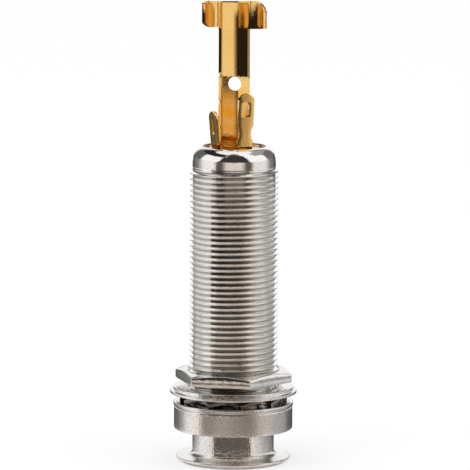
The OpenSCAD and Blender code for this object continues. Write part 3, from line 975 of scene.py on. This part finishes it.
def shadeAt(stops, azimuth):
    # stops go all the way round, so the last one meets the first
    stops = [(stops[-1][0] - 360, stops[-1][1]), *stops, (stops[0][0] + 360, stops[0][1])]
    for (a0, t0), (a1, t1) in zip(stops, stops[1:]):
        if azimuth <= a1:
            break
    return blendBetween(t0, t1, easeStep(a0, a1, azimuth))


def around(azimuth, radius, z):
    a = math.radians(azimuth)
    return (radius * math.sin(a), -radius * math.cos(a), z)


def cardTone(tone, azimuth):
    # the front of the room is a little warm
    warm = 1 - easeStep(warmFront["full"], warmFront["gone"], abs(azimuth))
    return [min(1, tone * blendBetween(1, tint, warm)) for tint in warmFront["tint"]] + [1]


def cardPiece(name, rows, tones):
    # rows of points of equal length, each point with its own tone
    wide = len(rows[0])
    verts = [v for row in rows for v in row]
    faces = [(j * wide + i, j * wide + i + 1, (j + 1) * wide + i + 1, (j + 1) * wide + i)
             for j in range(len(rows) - 1) for i in range(wide - 1)]
    data = bpy.data.meshes.new(name)
    data.from_pydata([Vector(v) * mm for v in verts], [], faces)
    layer = data.color_attributes.new("tone", "FLOAT_COLOR", "POINT")
    layer.data.foreach_set("color", [c for row in tones for tone in row for c in tone])
    card = bpy.data.objects.new(name, data)
    scene.collection.objects.link(card)
    material = bpy.data.materials.new(name)
    material.use_nodes = True
    tree = material.node_tree
    tree.nodes.clear()
    tone = addNode(tree, "ShaderNodeVertexColor", {"layer_name": "tone"})
    glow = addNode(tree, "ShaderNodeEmission", Strength=1.0)
    out = addNode(tree, "ShaderNodeOutputMaterial")
    tree.links.new(tone.outputs["Color"], glow.inputs["Color"])
    tree.links.new(glow.outputs[0], out.inputs["Surface"])
    data.materials.append(material)
    card.visible_camera = False
    card.visible_diffuse = False
    card.visible_transmission = False
    card.visible_shadow = False
    return card


turns = spread(-180, 180, 120)
cardPiece("floorCard",
          [[around(a, reach, studio["cardLift"]) for a in turns] for reach, name in floorRows],
          [[cardTone(shadeAt(shades[name], a), a) for a in turns] for reach, name in floorRows])
for wallName, wall in walls.items():
    stops = shades[wallName]
    steps = spread(stops[0][0], stops[-1][0], 48)
    wallTones = [cardTone(shadeAt(stops, a), a) for a in steps]
    levels = list(wall["height"])
    toneRows = [wallTones, wallTones]
    if "fade" in wall:
        # the upper edge runs out into the white sky
        levels.append(wall["fade"])
        toneRows.append([[1, 1, 1, 1]] * len(steps))
    cardPiece(wallName + "Card", [[around(a, wall["radius"], z) for a in steps] for z in levels], toneRows)


def buildFrontArch(k):
    # a dark arch with legs down to the floor, open below its middle
    def side(wide, tall):
        line = [around(-wide, k["radius"], 0)]
        for t in spread(math.pi, 0, 40):
            lift = math.tan(math.radians(tall * max(0, math.sin(t)) ** 0.5))
            line.append(around(wide * math.cos(t), k["radius"], k["level"] + k["radius"] * lift))
        return line + [around(wide, k["radius"], 0)]

    rows = [side(*k["inside"]), side(*k["outside"])]
    tones = [[cardTone(k["tone"], 0)] * len(rows[0])] * 2
    return cardPiece("frontArchCard", rows, tones)


buildFrontArch(frontArch)

floorHalf = studio["floorSize"] / 2
floorMesh = bpy.data.meshes.new("floor")
floorMesh.from_pydata([Vector((x * floorHalf, y * floorHalf, 0)) * mm
                       for x, y in ((-1, -1), (1, -1), (1, 1), (-1, 1))], [], [(0, 1, 2, 3)])
floor = bpy.data.objects.new("floor", floorMesh)
scene.collection.objects.link(floor)
floorFinish = bpy.data.materials.new("paleFloor")
floorFinish.use_nodes = True
floorShader = floorFinish.node_tree.nodes["Principled BSDF"]
floorShader.inputs["Base Color"].default_value = (*studio["floorColour"], 1)
floorShader.inputs["Roughness"].default_value = studio["floorRoughness"]
floorShader.inputs["Specular IOR Level"].default_value = 0.0
# the camera sees the floor half as plain white, so that a light shadow is left
floorTree = floorFinish.node_tree
seen = addNode(floorTree, "ShaderNodeLightPath").outputs["Is Camera Ray"]
share = rangeNode(floorTree, seen, 0, 1, 0, studio["floorWhite"])
plain = addNode(floorTree, "ShaderNodeEmission", Color=(1, 1, 1, 1), Strength=1.0)
blend = addNode(floorTree, "ShaderNodeMixShader")
floorTree.links.new(share, blend.inputs[0])
floorTree.links.new(floorShader.outputs[0], blend.inputs[1])
floorTree.links.new(plain.outputs[0], blend.inputs[2])
floorTree.links.new(blend.outputs[0], floorTree.nodes["Material Output"].inputs["Surface"])
floorMesh.materials.append(floorFinish)

world = bpy.data.worlds.new("paleSky")
world.use_nodes = True
sky = world.node_tree.nodes["Background"]
sky.inputs["Color"].default_value = (1, 1, 1, 1)
sky.inputs["Strength"].default_value = studio["skyStrength"]
scene.world = world

softboxes = {
    "keyLamp": {"place": (-350, -300, 420), "size": 300, "power": studio["lamp"]},
    "fillLamp": {"place": (380, -220, 360), "size": 300, "power": studio["lamp"] * 0.6},
}
for lampName, lamp in softboxes.items():
    light = bpy.data.lights.new(lampName, "AREA")
    light.size = lamp["size"] * mm
    light.energy = lamp["power"]
    holder = bpy.data.objects.new(lampName, light)
    holder.location = Vector(lamp["place"]) * mm
    aimPoint = Vector(studio["lampAim"]) * mm - holder.location
    holder.rotation_euler = aimPoint.to_track_quat("-Z", "Y").to_euler()
    holder.visible_glossy = False
    scene.collection.objects.link(holder)
print("studio set:", len(walls) + 2, "cards")


# Camera: a long lens a little above the object
cameraView = {
    "distance": 600,
    "elevation": 8.2,
    "lens": 342,
    "sensor": 36,
    "aim": (0.14, 0, 30.7),
    "roll": 0.25,
}
rise = math.radians(cameraView["elevation"])
away = Vector((0, -math.cos(rise), math.sin(rise)))
cameraData = bpy.data.cameras.new("camera")
cameraData.sensor_width = cameraView["sensor"]
cameraData.lens = cameraView["lens"]
cameraData.clip_start = 0.01
cameraData.clip_end = 20
camera = bpy.data.objects.new("camera", cameraData)
camera.location = (Vector(cameraView["aim"]) + away * cameraView["distance"]) * mm
facing = (-away).to_track_quat("-Z", "Y").to_matrix().to_4x4()
facing = facing @ Matrix.Rotation(math.radians(cameraView["roll"]), 4, "Z")
camera.rotation_euler = facing.to_euler()
scene.collection.objects.link(camera)
scene.camera = camera

scene.view_settings.view_transform = "Standard"

bpy.context.view_layer.update()
